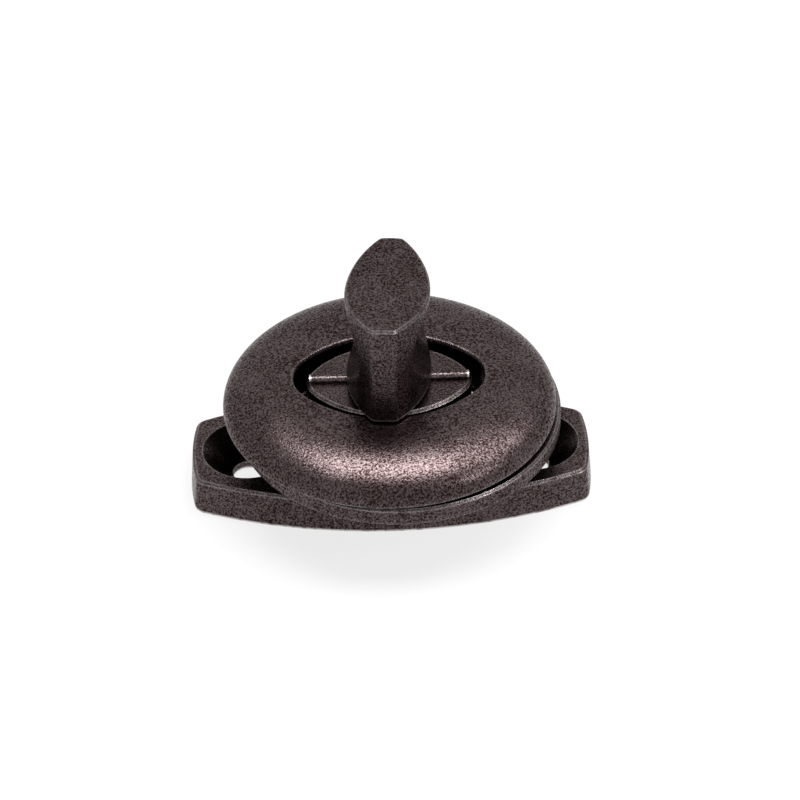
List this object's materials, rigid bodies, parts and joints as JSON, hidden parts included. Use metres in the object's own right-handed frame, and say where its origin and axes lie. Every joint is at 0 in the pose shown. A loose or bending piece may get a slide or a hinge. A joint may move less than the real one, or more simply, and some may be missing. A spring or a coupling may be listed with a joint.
{
  "type": "cupboard turn button",
  "caption": "Screwed metal base with a spring-loaded oval thumb-piece that turns across a domed eyelet ring to hold a cupboard flap shut.",
  "frame": {"origin": "centre of the base plate's underside, on the thumb-piece's turning axis", "axes": "+X along the base plate through both screw holes, +Z out of the surface it is screwed to, along the turning axis"},
  "size_m": [0.0442, 0.0364, 0.0263],
  "materials": {
    "dark_bronze": "oxidised dark brown-black, satin, fine cast grain",
    "spring_steel": "plain wire and washer steel"
  },
  "bodies": {
    "base": {"base_plate": "dark_bronze", "domed_ring": "dark_bronze", "backing_ring": "dark_bronze", "coil_spring": "spring_steel"},
    "spindle_washer": {"retaining_washer": "spring_steel"},
    "thumb": {"thumb_piece": "dark_bronze"}
  },
  "joints": [
    {"name": "lift", "type": "slide", "parent": "base", "child": "spindle_washer", "axis": [0, 0, 1], "range_m": [0, 0.0008], "stiffness_N_per_m": 400, "springref_m": -0.002, "deforming": ["coil_spring"]},
    {"name": "turn", "type": "hinge", "parent": "spindle_washer", "child": "thumb", "pos_m": [0, 0, 0], "axis": [0, 0, 1], "continuous": true}
  ]
}
